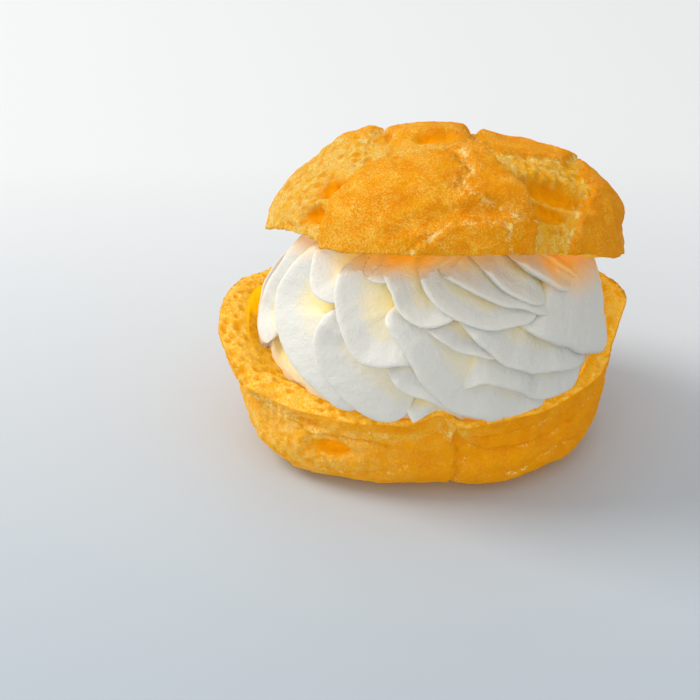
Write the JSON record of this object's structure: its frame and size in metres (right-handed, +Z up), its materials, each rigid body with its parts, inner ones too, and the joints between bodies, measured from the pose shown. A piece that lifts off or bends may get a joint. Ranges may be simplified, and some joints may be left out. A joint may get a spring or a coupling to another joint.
{
  "type": "cream puff",
  "caption": "Round choux bun cut across and opened like a clam, its bowl-shaped lower half and hollow lid parted by a piped swirl of whipped cream.",
  "frame": {"origin": "middle of the bun's flat foot, on the surface that it rests on", "axes": "+Z up, +X to the bun's right, -Y towards the side that gapes open"},
  "size_m": [0.0944, 0.0858, 0.0753],
  "materials": {
    "choux": "baked choux pastry: golden crust, paler where it is torn",
    "cream": "whipped cream, smooth with a soft sheen"
  },
  "bodies": {
    "root": {"choux_base": "choux", "cream": "cream", "choux_lid": "choux"}
  },
  "joints": []
}
